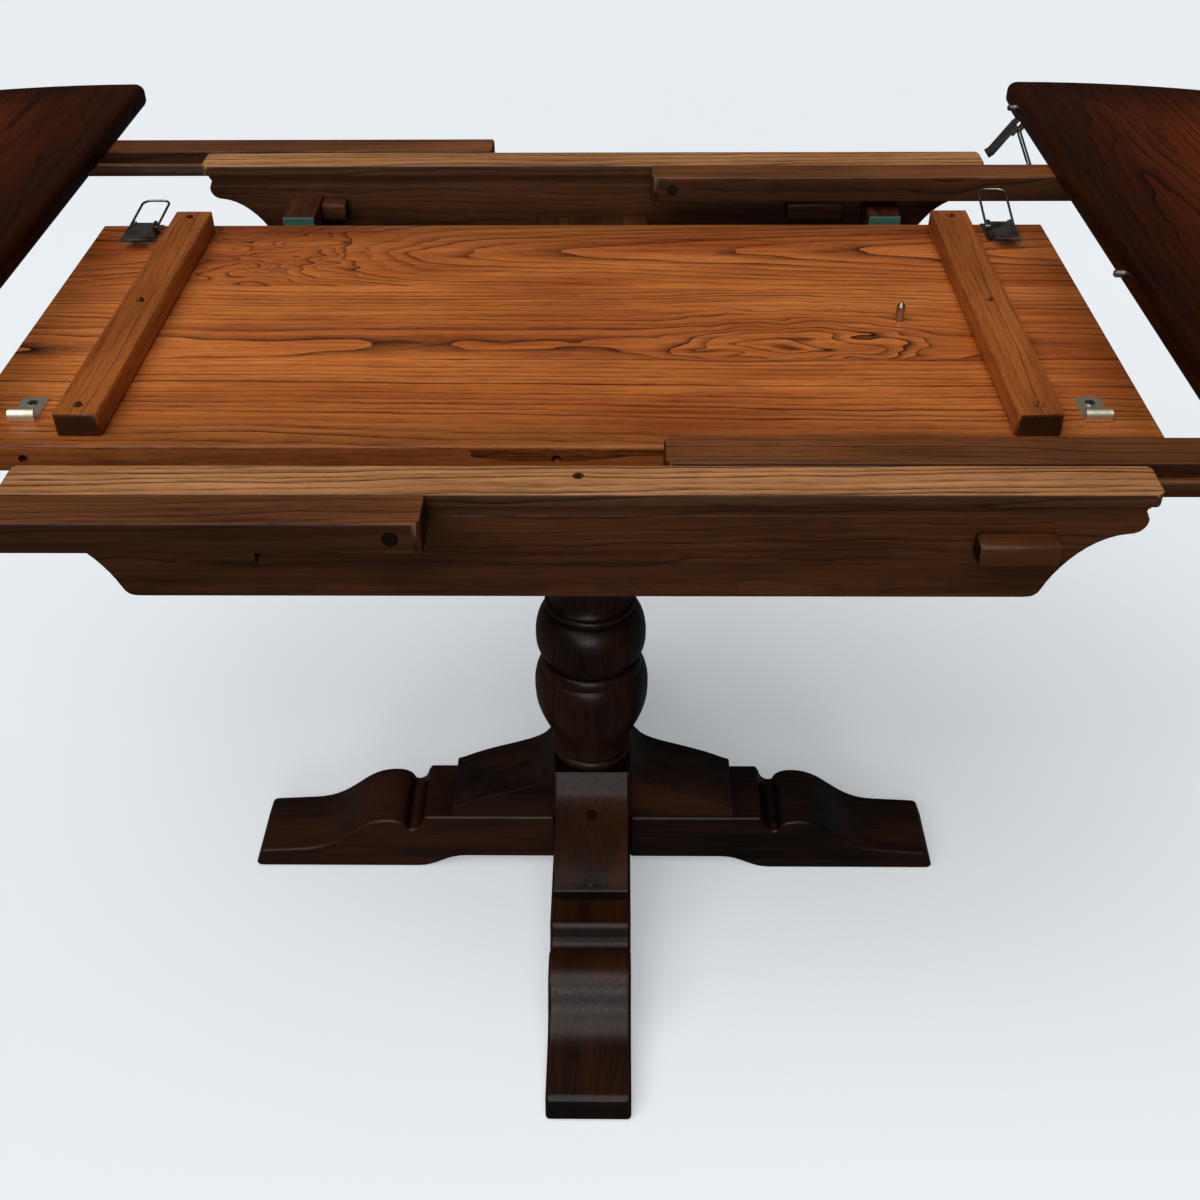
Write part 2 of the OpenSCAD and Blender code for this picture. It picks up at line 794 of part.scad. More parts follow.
// A foot in side view, from the toe in along its back to the post, and out along its underside.
function foot_profile(reach) =
    let (hump = ledge_reach + 42, groove = ledge_reach + 17)
    concat(
        arc([reach - 6, 6], 6, -90, -8, 4),
        arc([reach - 14, toe_h - 8], 8, 10, 85, 5),
        curve([
            [reach - 60, toe_h + 3],
            [reach - 112, toe_h + 6],
            [hump + 42, hump_h],
            [hump, hump_h]], 14),
        curve([
            [hump, hump_h],
            [hump - 16, hump_h],
            [groove + 4, hump_h - 8],
            [groove + 3, hump_h - 14]], 6),
        curve([
            [groove + 3, hump_h - 14],
            [groove, hump_h - 18],
            [ledge_reach + 6, hump_h - 16],
            [ledge_reach + 3, ledge_h - 6]], 6),
        arc([ledge_reach - 3, ledge_h - 4], 4, 20, 90, 4),
        [[foot_w / 2, ledge_h], [foot_w / 2, arch_h]],
        curve([
            [ledge_reach - 44, arch_h],
            [ledge_reach - 20, arch_h],
            [ledge_reach - 10, 0],
            [ledge_reach + 14, 0]], 8));

module foot(turn, reach) {
    color(DARK_OAK) rotate([0, 0, turn]) rotate([90, 0, 0])
        linear_extrude(foot_w, center = true) polygon(foot_profile(reach));
}

// A bracket in side view: a sloping back that sweeps up to the post.
bracket_profile = concat(
    [[foot_w / 2, ledge_h]],
    [[bracket_reach, ledge_h]],
    arc([bracket_reach - 3, ledge_h + bracket_nose - 3], 3, 0, 70, 3),
    curve([
        [bracket_reach - 8, ledge_h + bracket_nose + 2],
        [bracket_reach - 50, ledge_h + bracket_nose + 24],
        [foot_w / 2 + 30, ledge_h + 0.56 * bracket_h],
        [foot_w / 2 + 12, ledge_h + 0.78 * bracket_h]], 10),
    [[foot_w / 2, ledge_h + bracket_h]]);

module plug_body() {
    for (x = [bracket_reach - 12, foot_w / 2 + 36])
        translate([x, 0, ledge_h + 2]) cylinder(h = bracket_h, r = plug_r);
}

module bracket_solid() {
    rotate([90, 0, 0]) linear_extrude(foot_w - 6, center = true) polygon(bracket_profile);
}

module bracket(turn) {
    color(DARK_OAK) rotate([0, 0, turn]) difference() {
        bracket_solid();
        plug_body();
    }
}

// Each plug follows the bracket's back.
module bracket_plugs() {
    color(DARK_OAK) for (turn = [0:90:270]) rotate([0, 0, turn]) intersection() {
        bracket_solid();
        plug_body();
    }
}

// The turned stretch of the post, as radius and height, between its two square blocks.
head_block_bottom = rail_bottom - head_block_h;
bulb_z = block_top + 103;
ring_z = block_top + 172;
turned_profile = concat(
    [[0, block_top - 1], [neck_r - 2, block_top - 1], [neck_r - 2, block_top + 3]],
    arc([neck_r - 3, block_top + 9], 6, -70, 70, 8),
    [[neck_r - 3, block_top + 15], [neck_r + 1, block_top + 16], [neck_r + 1, block_top + 20]],
    curve([
        [neck_r, block_top + 22],
        [neck_r, block_top + 44],
        [bulb_r, block_top + 62],
        [bulb_r, bulb_z - 7]]),
    curve([
        [bulb_r, bulb_z],
        [bulb_r, bulb_z + 10],
        [shoulder_r + 3, bulb_z + 19],
        [shoulder_r, bulb_z + 25]]),
    [[shoulder_r - 2, bulb_z + 26.5]],
    curve([
        [shoulder_r - 1, bulb_z + 28],
        [shoulder_r - 2, bulb_z + 35],
        [waist_r + 5, bulb_z + 39],
        [waist_r, bulb_z + 40]], 6),
    [[waist_r, bulb_z + 47]],
    curve([
        [waist_r + 2, bulb_z + 48],
        [ring_r - 1, bulb_z + 50],
        [ring_r, ring_z - 12],
        [ring_r, ring_z]], 8),
    curve([
        [ring_r, ring_z],
        [ring_r, ring_z + 22],
        [shaft_r + 10, ring_z + 34],
        [shaft_r + 4, ring_z + 36]]),
    arc([shaft_r + 3, ring_z + 42], 5, -80, 80, 8),
    curve([
        [shaft_r + 2, ring_z + 49],
        [shaft_r - 5, ring_z + 60],
        [shaft_r - 2, head_block_bottom - 60],
        [shaft_r, head_block_bottom - 30]]),
    arc([shaft_r - 2, head_block_bottom - 22], 7, -80, 80, 8),
    [[shaft_r, head_block_bottom - 12], [shaft_r + 2, head_block_bottom + 1],
     [0, head_block_bottom + 1]]);

module post() {
    color(DARK_OAK) {
        translate([0, 0, (arch_h + block_top) / 2])
            cube([foot_w, foot_w, block_top - arch_h], center = true);
        rotate_extrude($fn = 96) polygon(turned_profile);
        translate([0, 0, rail_bottom - head_block_h / 2])
            cube([foot_w, foot_w, head_block_h], center = true);
    }
}

translate([centre_shift, 0, 0]) {
    post();
    foot(180, side_reach);  // foot_left
    foot(0, side_reach);  // foot_right
    foot(270, front_reach);  // foot_front
    foot(90, front_reach);  // foot_back
    bracket(180);  // bracket_left
    bracket(0);  // bracket_right
    bracket(270);  // bracket_front
    bracket(90);  // bracket_back
    bracket_plugs();
    head_beam();
    bearer("left");  // bearer_left
    bearer("right");  // bearer_right
    rail("front");  // rail_front
    rail("back");  // rail_back
    strip("front");  // strip_front
    strip("back");  // strip_back
    outer_stops("front");  // outer_stops_front
    outer_stops("back");  // outer_stops_back
    inner_stops("front");  // inner_stops_front
    inner_stops("back");  // inner_stops_back
    guides("left");  // guides_left
    guides("right");  // guides_right
    guide_screws();
    felt_pads();
    top_left();
    runner(0, -1);  // outer_runner_front
    runner(0, 1);  // outer_runner_back
    pegs(0);  // outer_pegs
    at_top_striker("front") striker();  // top_striker_front
    at_top_striker("back") striker();  // top_striker_back
    top_striker_screws();
    top_right();
    runner(1, 1);  // inner_runner_front
    runner(1, -1);  // inner_runner_back
    pegs(1);  // inner_pegs
    top_dowels();
    at_top_latch("front") latch_base();  // top_latch_front
    at_top_latch("back") latch_base();  // top_latch_back
    top_latch_pins();
    top_latch_screws();
    at_top_latch("front") lever(hang_angle);  // top_lever_front
    at_top_latch("back") lever(hang_angle);  // top_lever_back
    at_top_latch("front") loop(hang_angle, loop_hang);  // top_loop_front
    at_top_latch("back") loop(hang_angle, loop_hang);  // top_loop_back
    leaf_panel();
    cleat("left");  // cleat_left
    cleat("right");  // cleat_right
    cleat_screws();
    locating_pin();
    leaf_dowels();
    at_leaf_fitting("left", false) striker();  // leaf_striker_left
    at_leaf_fitting("right", false) striker();  // leaf_striker_right
    at_leaf_fitting("left", true) latch_base();  // leaf_latch_left
    at_leaf_fitting("right", true) latch_base();  // leaf_latch_right
    leaf_fittings();
    at_leaf_fitting("left", true) lever(0);  // leaf_lever_left
    at_leaf_fitting("right", true) lever(0);  // leaf_lever_right
    at_leaf_fitting("left", true) loop(0, left_loop_tip);  // leaf_loop_left
    at_leaf_fitting("right", true) loop(0, right_loop_tip);  // leaf_loop_right
}
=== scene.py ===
"""Oval draw-apart pedestal table in stained oak, drawn open over its stored leaf."""
import json
import logging
import math
import random
from collections.abc import Callable
from dataclasses import dataclass
from enum import Enum
from functools import partial

import bmesh
import bpy
from mathutils import Matrix, Vector

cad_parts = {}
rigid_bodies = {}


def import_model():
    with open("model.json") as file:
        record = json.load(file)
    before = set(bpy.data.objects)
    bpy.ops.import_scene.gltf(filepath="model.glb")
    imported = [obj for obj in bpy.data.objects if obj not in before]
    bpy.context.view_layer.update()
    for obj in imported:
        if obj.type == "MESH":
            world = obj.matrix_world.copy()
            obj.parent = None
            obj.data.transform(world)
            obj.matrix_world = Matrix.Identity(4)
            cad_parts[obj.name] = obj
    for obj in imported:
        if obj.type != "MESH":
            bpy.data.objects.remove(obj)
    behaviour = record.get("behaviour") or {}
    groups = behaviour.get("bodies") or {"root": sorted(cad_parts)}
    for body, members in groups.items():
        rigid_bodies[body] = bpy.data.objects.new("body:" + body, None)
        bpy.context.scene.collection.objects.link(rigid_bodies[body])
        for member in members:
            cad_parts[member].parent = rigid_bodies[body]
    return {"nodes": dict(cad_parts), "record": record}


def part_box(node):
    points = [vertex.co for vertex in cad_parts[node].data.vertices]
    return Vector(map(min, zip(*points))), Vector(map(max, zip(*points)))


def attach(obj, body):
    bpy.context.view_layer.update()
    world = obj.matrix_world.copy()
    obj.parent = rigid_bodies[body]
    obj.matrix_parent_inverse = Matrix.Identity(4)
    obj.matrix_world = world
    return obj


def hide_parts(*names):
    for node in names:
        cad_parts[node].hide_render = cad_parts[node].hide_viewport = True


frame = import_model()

LOG = logging.getLogger("table")
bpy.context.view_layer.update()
AXIS = sum(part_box("post"), Vector()) / 2  # middle of the turned post
MM = 0.001

MATH = "ShaderNodeMath"
VECTOR_MATH = "ShaderNodeVectorMath"
NOISE = "ShaderNodeTexNoise"
MIX = "ShaderNodeMix"
RANGE = "ShaderNodeMapRange"
COORDINATES = "ShaderNodeTexCoord"
SPLIT = "ShaderNodeSeparateXYZ"
JOIN = "ShaderNodeCombineXYZ"
BUMP = "ShaderNodeBump"
PRINCIPLED = "ShaderNodeBsdfPrincipled"
OUTPUT = "ShaderNodeOutputMaterial"

SHARP_DEG = 50.0  # edges that turn by more than this are eased


# ---- Small helpers ----

def linear(code: str) -> tuple[float, float, float, float]:
    """Turn an sRGB hex colour into linear values.

    Args:
        code: Colour such as "#A0602E".

    Returns:
        Red, green, blue and an alpha of 1.
    """
    parts = [int(code[i:i + 2], 16) / 255 for i in (1, 3, 5)]
    return (*[p / 12.92 if p <= 0.04045 else ((p + 0.055) / 1.055) ** 2.4 for p in parts], 1.0)


def add_node(tree: bpy.types.NodeTree, kind: str, inputs: dict | tuple = (),
             **settings: object) -> bpy.types.Node:
    """Add a node with its settings, values and links.

    Args:
        tree: The tree that takes the node.
        kind: Blender's name of the node type.
        inputs: Values in the order of the sockets, or by socket name. A socket given as a
            value is linked, and so is the first output of a node.
        **settings: The node's own properties.

    Returns:
        The new node.
    """
    node = tree.nodes.new(kind)
    for name, value in settings.items():
        setattr(node, name, value)
    for key, value in inputs.items() if isinstance(inputs, dict) else enumerate(inputs):
        if isinstance(value, bpy.types.Node):
            value = value.outputs[0]
        if isinstance(value, bpy.types.NodeSocket):
            tree.links.new(value, node.inputs[key])
        else:
            node.inputs[key].default_value = value
    return node


def blank_material(name: str) -> bpy.types.Material:
    """Make a material with an empty node tree.

    Args:
        name: The material's name.

    Returns:
        The material.
    """
    mat = bpy.data.materials.new(name)
    mat.use_nodes = True
    mat.node_tree.nodes.clear()
    return mat


def new_piece(name: str, bm: bmesh.types.BMesh, body: str,
              sharp_deg: float = 40.0) -> bpy.types.Object:
    """Make an object from a bmesh, shade it and let it ride on a body.

    Args:
        name: The piece's name.
        bm: The finished shape, in the table's own frame. It is freed.
        body: The moving body that carries the piece.
        sharp_deg: Edges that turn by more than this stay crisp.

    Returns:
        The new object.
    """
    mesh = bpy.data.meshes.new(name)
    bm.to_mesh(mesh)
    bm.free()
    mesh.shade_smooth()
    mesh.set_sharp_from_angle(angle=math.radians(sharp_deg))
    piece = bpy.data.objects.new(name, mesh)
    bpy.context.scene.collection.objects.link(piece)
    weighted = piece.modifiers.new("weighted", "WEIGHTED_NORMAL")
    weighted.keep_sharp = True
    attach(piece, body)
    return piece


def ease_edges(bm: bmesh.types.BMesh, ease_mm: float) -> None:
    """Round every sharp outer edge of a shape.

    Args:
        bm: The shape.
        ease_mm: Radius of the rounding.
    """
    limit = math.radians(SHARP_DEG)
    edges = [e for e in bm.edges if e.is_manifold and e.calc_face_angle_signed(0) > limit]
    bmesh.ops.bevel(bm, geom=edges, offset=ease_mm * MM, offset_type="OFFSET", segments=3,
                    profile=0.5, affect="EDGES", clamp_overlap=True, material=-1)


def eased_copy(node: str, body: str, ease_mm: float) -> bpy.types.Object:
    """Copy a wooden part with its arrises eased, to stand for the plain one.

    Args:
        node: The part to copy.
        body: The moving body that carries it.
        ease_mm: Radius of the eased arrises; 0 leaves them as they are.

    Returns:
        The new object, which replaces the part.
    """
    bm = bmesh.new()
    bm.from_mesh(frame["nodes"][node].data)
    bmesh.ops.remove_doubles(bm, verts=bm.verts, dist=2e-6)
    bmesh.ops.dissolve_limit(bm, angle_limit=math.radians(0.3), verts=bm.verts, edges=bm.edges)
    if ease_mm > 0:
        ease_edges(bm, ease_mm)
    piece = new_piece(node + "_eased", bm, body)
    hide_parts(node)
    return piece


# ---- Finishes ----

class Grain(Enum):
    """Which way the grain of a board runs, as the axes along, across and through it."""

    ALONG_TABLE = (0, 1, 2)
    ACROSS_TABLE = (1, 0, 2)
    UPRIGHT = (2, 0, 1)


@dataclass(frozen=True)
class Board:
    """Where one board was cut from its log, in millimetres.

    The slope is how far the heart drops per length, and the tone is how pale the board is,
    from 0 to 1.
    """

    heart: float
    depth: float
    slope: float
    swell_at: float = 0.0
    swell: float = 0.0
    tone: float = 0.5

    def numbers(self) -> tuple[float, ...]:
        """Give the board's numbers in field order.

        Returns:
            The lengths in metres, with the slope and the tone as they are.
        """
        return (self.heart * MM, self.depth * MM, self.slope, self.swell_at * MM,
                self.swell * MM, self.tone)


# A stop of a colour ramp holds only 0 to 1: a board's numbers are shifted by these, then divided.
STOP_SHIFTS = (0.2, 0.1, 0.4, 0.8, 0.1, 0.0)
STOP_RANGE = 1.6

WARP_SPREAD = 2.6  # noise keeps near its middle, so a wander of warp_mm needs it spread
CURL_SPREAD = 3.0
YEARS_PER_RING = 0.45  # how fast wet and dry years follow one another
YEARS_DRIFT = 1.6  # how many rings they shift a ring by, at most
FAINT_RING = 0.2  # the faintest ring, as a share of the darkest
STRAY_PORES = 0.25  # the pores outside the early wood, as a share of those in it
STREAKS = 1.2
CLOUDS = 1.6
TONES = 0.5


def any_board(draw: random.Random) -> Board:
    """Cut a board from anywhere in a log.

    Args:
        draw: The piece's own source of chance.

    Returns:
        The board.
    """
    return Board(draw.choice((-1, 1)) * draw.uniform(45, 90), draw.uniform(15, 50),
                 draw.choice((-1, 1)) * draw.uniform(0.01, 0.03),
                 draw.uniform(-200, 200), draw.uniform(-6, 6), draw.uniform(0.3, 0.7))


@dataclass(frozen=True)
class Field:
    """A noise stretched along the grain, by the size of its cells in millimetres."""

    length: float
    width: float
    detail: float
    shift: float | None = None  # from the piece's own seed; None is the same for every piece

    def build(self, add: Callable, point: bpy.types.Node, seed: float) -> bpy.types.Node:
        """Build the noise.

        Args:
            add: Adds a node to the material's tree.
            point: The place, along, across and through the board.
            seed: The piece's own seed.

        Returns:
            The noise.
        """
        scale = (1 / (self.length * MM), 1 / (self.width * MM), 1 / (self.width * MM))
        moved = 0.0 if self.shift is None else seed + self.shift
        at = add(VECTOR_MATH, (point, scale, (moved, moved, moved)), operation="MULTIPLY_ADD")
        return add(NOISE, {"Vector": at, "Scale": 1.0, "Detail": self.detail, "Roughness": 0.6})


WANDER = Field(length=333.3, width=76.92, detail=3.0, shift=0.0)  # slow drift of the rings
CURL = Field(length=111.1, width=41.67, detail=2.0, shift=5.0)  # bends round a swelling
PORES = Field(length=22.22, width=1.613, detail=2.0)  # about twice as wide as real, to show
FIBRE = Field(length=166.7, width=5.263, detail=4.0)  # streaks of stain
PATCH = Field(length=312.5, width=76.92, detail=2.0, shift=7.0)  # clouds of stain and wear
STRENGTH = Field(length=250.0, width=33.33, detail=2.0, shift=3.0)  # where rings show more


@dataclass(frozen=True)
class OakFinish:
    """Stained and polished oak, ring-porous: each ring starts with a dark band of open pores."""

    name: str
    pale: str
    body: str
    dark: str
    ring_mm: float = 6.0
    ring_depth: float = 0.6
    ring_power: float = 2.6
    pore_depth: float = 0.55
    roughness: float = 0.36
    shine: float = 0.3
    warp_mm: float = 9.0
    swell_mm: float = 110.0
    patchy: float = 0.5
    rim_mm: float = 0.0
    rim_dark: float = 0.6
    # How far painted shade darkens the sides that face across the grain, from 0 to 1.
    side_painted_shade: float = 0.0
    end_dark: float = 0.9
    bump_mm: float = 0.25
    pore_sink: float = 0.8
    pore_roughness: float = 0.2
    ior: float = 1.46

    def material(self, name: str, grain: Grain, lo: Vector, hi: Vector,
                 boards: tuple[Board, ...] = ()) -> bpy.types.Material:
        """Build the oak of one board or one glued-up panel.

        Args:
            name: The piece's name, which also seeds its own log.
            grain: Which way the grain runs.
            lo: The piece's lowest corner.
            hi: The piece's highest corner.
            boards: The boards side by side across the grain; none draws one by chance.

        Returns:
            The material.
        """
        mat = blank_material(name + "_" + self.name)
        add = partial(add_node, mat.node_tree)
        draw = random.Random(name)
        seed = draw.uniform(0, 50)
        boards = boards or (any_board(draw),)
        place = add(COORDINATES)
        centred = add(VECTOR_MATH, (place.outputs["Object"], (lo + hi) / 2),
                      operation="SUBTRACT")
        axes = add(SPLIT, (centred,)).outputs
        spans = [(hi - lo)[axis] for axis in grain.value]
        length, width, depth = (axes[axis] for axis in grain.value)
        point = add(JOIN, (length, width, depth))
        patch = PATCH.build(add, point, seed)
        fibre = FIBRE.build(add, point, seed)

        cut = self.cut_boards(add, width, spans[1], boards)
        early = self.draw_rings(add, length, point, cut, seed)
        holes = add(RANGE, {"Value": PORES.build(add, point, seed), "From Min": 0.5,
                            "From Max": 0.6})
        in_early = add(MATH, (early, 1 - STRAY_PORES, STRAY_PORES), operation="MULTIPLY_ADD")
        pores = add(MATH, (holes, in_early), operation="MULTIPLY")

        # Ground between the two stains, then everything that is darker than it, one over another;
        # this includes painted shade on the sides that face across the grain.
        streaks = add(MATH, (fibre, STREAKS, -STREAKS / 2), operation="MULTIPLY_ADD")
        clouds = add(MATH, (patch, self.patchy * CLOUDS, -self.patchy * CLOUDS / 2),
                     operation="MULTIPLY_ADD")
        mottle = add(MATH, (streaks, clouds), operation="ADD")
        *_, tone = cut
        toned = add(MATH, (tone, TONES, (1 - TONES) / 2), operation="MULTIPLY_ADD")
        lit = add(MATH, (mottle, toned), operation="ADD", use_clamp=True)
        ground = add(MIX, {"Factor": lit, "A": linear(self.body), "B": linear(self.pale)},
                     data_type="RGBA")
        strength = add(RANGE, {"Value": STRENGTH.build(add, point, seed), "From Min": 0.3,
                               "From Max": 0.7, "To Min": 0.45, "To Max": 1.0})
        strong = add(MATH, (early, strength), operation="MULTIPLY")
        layers = [
            add(MATH, (strong, self.ring_depth), operation="MULTIPLY", use_clamp=True),
            add(MATH, (pores, self.pore_depth), operation="MULTIPLY", use_clamp=True),
            *self.darken_ends_and_paint_side_shade(add, place, grain)]
        if self.rim_mm > 0:
            layers.append(self.darken_rim(add, (length, width), spans, patch))
        colour = ground.outputs["Result"]
        for layer in layers:
            over = add(MIX, {"Factor": layer, "A": colour, "B": linear(self.dark)},
                       data_type="RGBA")
            colour = over.outputs["Result"]

        height = add(MATH, (pores, -self.pore_sink, fibre), operation="MULTIPLY_ADD")
        bump = add(BUMP, {"Height": height, "Strength": 0.35, "Distance": self.bump_mm * MM})
        rough = add(MATH, (pores, self.pore_roughness, self.roughness),
                    operation="MULTIPLY_ADD")
        shader = add(PRINCIPLED, {"Base Color": colour, "IOR": self.ior, "Roughness": rough,
                                  "Specular IOR Level": self.shine, "Normal": bump})
        add(OUTPUT, {"Surface": shader})
        return mat

    def cut_boards(self, add: Callable, width: bpy.types.NodeSocket, span: float,
                   boards: tuple[Board, ...]) -> list[float | bpy.types.Node]:
        """Find the board that a place is in, and how it was cut.

        Args:
            add: Adds a node to the material's tree.
            width: The place across the grain, from the middle.
            span: The piece's whole width across the grain.
            boards: The boards side by side.

        Returns:
            The board's numbers in field order, each a value or a node, with the heart's place
            from the middle of the piece.
        """
        if len(boards) == 1:
            return list(boards[0].numbers())
        count = float(len(boards))
        pitch = span / count
        counted = add(MATH, (width, 1 / pitch, count / 2), operation="MULTIPLY_ADD")
        step = add(MATH, (counted,), operation="FLOOR")
        centre = add(MATH, (step, 0.5), operation="ADD")
        share = add(MATH, (centre, count), operation="DIVIDE")
        chosen = []
        for first in (0, 3):
            shifts = STOP_SHIFTS[first:first + 3]
            table = add("ShaderNodeValToRGB", (share,))
            table.color_ramp.interpolation = "CONSTANT"
            stops = table.color_ramp.elements
            while len(stops) < len(boards):
                stops.new(1.0)
            for i, board in enumerate(boards):
                row = zip(board.numbers()[first:first + 3], shifts)
                stops[i].position = i / count
                stops[i].color = (*((number + shift) / STOP_RANGE for number, shift in row), 1.0)
            chosen += [add(MATH, (part, STOP_RANGE, -shift), operation="MULTIPLY_ADD")
                       for part, shift in zip(add(SPLIT, (table,)).outputs, shifts)]
        middle = add(MATH, (centre, pitch, -span / 2), operation="MULTIPLY_ADD")
        chosen[0] = add(MATH, (middle, chosen[0]), operation="ADD")
        return chosen

    def draw_rings(self, add: Callable, length: bpy.types.NodeSocket, point: bpy.types.Node,
                   cut: list[float | bpy.types.Node], seed: float) -> bpy.types.Node:
        """Draw the rings round the heart of the log where the board cuts through them.

        Args:
            add: Adds a node to the material's tree.
            length: The place along the grain, from the middle.
            point: The place, along, across and through the board.
            cut: The board's numbers.
            seed: The piece's own seed.

        Returns:
            How much of the early wood's dark band is at the place, from 0 to 1.
        """
        heart, below, slope, swell_at, swell, _ = cut
        drift = add(VECTOR_MATH, (WANDER.build(add, point, seed).outputs["Color"],
                                  (0.5, 0.5, 0.5)), operation="SUBTRACT")
        reach = self.warp_mm * WARP_SPREAD * MM
        warped = add(VECTOR_MATH, (drift, (0.0, reach, reach), point),
                     operation="MULTIPLY_ADD")
        _, wide, deep = add(SPLIT, (warped,)).outputs
        off_heart = add(MATH, (wide, heart), operation="SUBTRACT")
        # A swelling in the log: a bell-shaped hump with a curl in it.
        off_swell = add(MATH, (length, swell_at), operation="SUBTRACT")
        away = add(MATH, (off_swell, self.swell_mm * MM), operation="DIVIDE")
        square = add(MATH, (away, away), operation="MULTIPLY")
        fall = add(MATH, (square, -1.0), operation="MULTIPLY")
        hump = add(MATH, (math.e, fall), operation="POWER")
        curl = add(MATH, (CURL.build(add, point, seed), CURL_SPREAD, -0.5),
                   operation="MULTIPLY_ADD")
        curled = add(MATH, (hump, curl), operation="MULTIPLY")
        tilt = add(MATH, (length, slope, below), operation="MULTIPLY_ADD")
        bent = add(MATH, (curled, swell, tilt), operation="MULTIPLY_ADD")
        sunk = add(MATH, (deep, bent), operation="ADD")
        radius = add(VECTOR_MATH, (add(JOIN, (off_heart, sunk)),), operation="LENGTH")
        rings = add(MATH, (radius.outputs["Value"], 1 / (self.ring_mm * MM)),
                    operation="MULTIPLY")
        # Wet and dry years: ring widths vary, and so does how dark each is.
        years = add(NOISE, {"W": rings, "Scale": YEARS_PER_RING, "Detail": 2.0},
                    noise_dimensions="1D")
        uneven = add(MATH, (years, YEARS_DRIFT, rings), operation="MULTIPLY_ADD")
        since = add(MATH, (uneven,), operation="FRACT")
        late = add(MATH, (1.0, since), operation="SUBTRACT")
        early = add(MATH, (late, self.ring_power), operation="POWER")
        year = add("ShaderNodeTexWhiteNoise", {"W": add(MATH, (uneven,), operation="FLOOR")},
                   noise_dimensions="1D")
        weight = add(MATH, (year.outputs["Value"], 1 - FAINT_RING, FAINT_RING),
                     operation="MULTIPLY_ADD")
        return add(MATH, (early, weight), operation="MULTIPLY")

    def darken_ends_and_paint_side_shade(self, add: Callable, place: bpy.types.Node, grain: Grain
                     ) -> list[bpy.types.Node]:
        """Darken the end grain, which drinks more stain, and paint shade on the sides that face
        across the grain.

        Args:
            add: Adds a node to the material's tree.
            place: The texture coordinates.
            grain: Which way the grain runs.

        Returns:
            One layer of dark for each, from 0 to 1.
        """
        facing = add(SPLIT, (place.outputs["Normal"],)).outputs
        layers = []
        # The first layer is the darker end grain; the second is painted shade on the sides that
        # face across the grain.
        for axis, full, dark in ((0, 1.0, self.end_dark), (1, 0.9, self.side_painted_shade)):
            if dark > 0:
                turned = add(MATH, (facing[grain.value[axis]],), operation="ABSOLUTE")
                layers.append(add(RANGE, {"Value": turned, "From Min": 0.5, "From Max": full,
                                          "To Min": 0.0, "To Max": dark}))
        return layers

    def darken_rim(self, add: Callable, places: tuple[bpy.types.NodeSocket, ...],
                   spans: list[float], patch: bpy.types.Node) -> bpy.types.Node:
        """Darken a cloudy margin round the board, darker nearer its edges.

        Args:
            add: Adds a node to the material's tree.
            places: The place along and across the grain, from the middle.
            spans: The piece's size along, across and through the board.
            patch: The clouds of stain.

        Returns:
            The layer of dark, from 0 to rim_dark.
        """
        rim = self.rim_mm * MM
        rims = []
        for span, value in zip(spans, places):
            reach = add(MATH, (value,), operation="ABSOLUTE")
            rims.append(add(MATH, (span / 2, reach), operation="SUBTRACT"))
        nearest = add(MATH, tuple(rims), operation="MINIMUM")
        cloudy = add(MATH, (patch, -0.9 * rim, nearest), operation="MULTIPLY_ADD")
        return add(RANGE, {"Value": cloudy, "From Min": -0.2 * rim, "From Max": rim,
                           "To Min": self.rim_dark, "To Max": 0.0})


@dataclass(frozen=True)
class MetalFinish:
    """Plated or darkened steel with a little tarnish."""

    name: str
    bright: str
    dull: str
    roughness: float
    tarnish_mm: float = 16.67

    def material(self) -> bpy.types.Material:
        """Build the metal.

        Returns:
            The material.
        """
        mat = blank_material(self.name)
        add = partial(add_node, mat.node_tree)
        place = add(COORDINATES)
        cloud = add(NOISE, {"Vector": place.outputs["Object"],
                            "Scale": 1 / (self.tarnish_mm * MM), "Detail": 2.0})
        spread = add(RANGE, {"Value": cloud, "From Min": 0.4, "From Max": 0.7})
        tint = add(MIX, {"Factor": spread, "A": linear(self.bright), "B": linear(self.dull)},
                   data_type="RGBA")
        rough = add(MATH, (spread, 0.12, self.roughness), operation="MULTIPLY_ADD")
        shader = add(PRINCIPLED, {"Base Color": tint.outputs["Result"], "Metallic": 1.0,
                                  "Roughness": rough})
        add(OUTPUT, {"Surface": shader})
        return mat


@dataclass(frozen=True)
class FeltFinish:
    """Wool felt: no grain, a fine fuzz that catches light at its edges."""

    name: str = "green_felt"
    colour: str = "#2F6B5A"
    shade: str = "#1D4A3D"
    fuzz_mm: float = 1.111
    nap_mm: float = 0.3

    def material(self) -> bpy.types.Material:
        """Build the felt.

        Returns:
            The material.
        """
        mat = blank_material(self.name)
        add = partial(add_node, mat.node_tree)
        place = add(COORDINATES)
        fuzz = add(NOISE, {"Vector": place.outputs["Object"], "Scale": 1 / (self.fuzz_mm * MM),
                           "Detail": 3.0})
        tint = add(MIX, {"Factor": fuzz, "A": linear(self.shade), "B": linear(self.colour)},
                   data_type="RGBA")
        bump = add(BUMP, {"Height": fuzz, "Strength": 0.6, "Distance": self.nap_mm * MM})
        shader = add(PRINCIPLED, {"Base Color": tint.outputs["Result"], "Roughness": 0.95,
                                  "IOR": 1.5, "Sheen Weight": 0.3, "Normal": bump})
        add(OUTPUT, {"Surface": shader})
        return mat


# Each is the real wood or metal of its parts; the note says what that gives the eye.

# Oak under clear old polish: orange ground, dark open-pored rings, darker towards the ends.
LEAF_OAK = OakFinish("orange_oak", "#EC8A42", "#A44C1A", "#1A0702", ring_mm=7.0,
                     ring_depth=1.5, ring_power=3.0, pore_depth=0.85, rim_mm=45.0,
                     rim_dark=0.45, patchy=1.3, warp_mm=7.0)
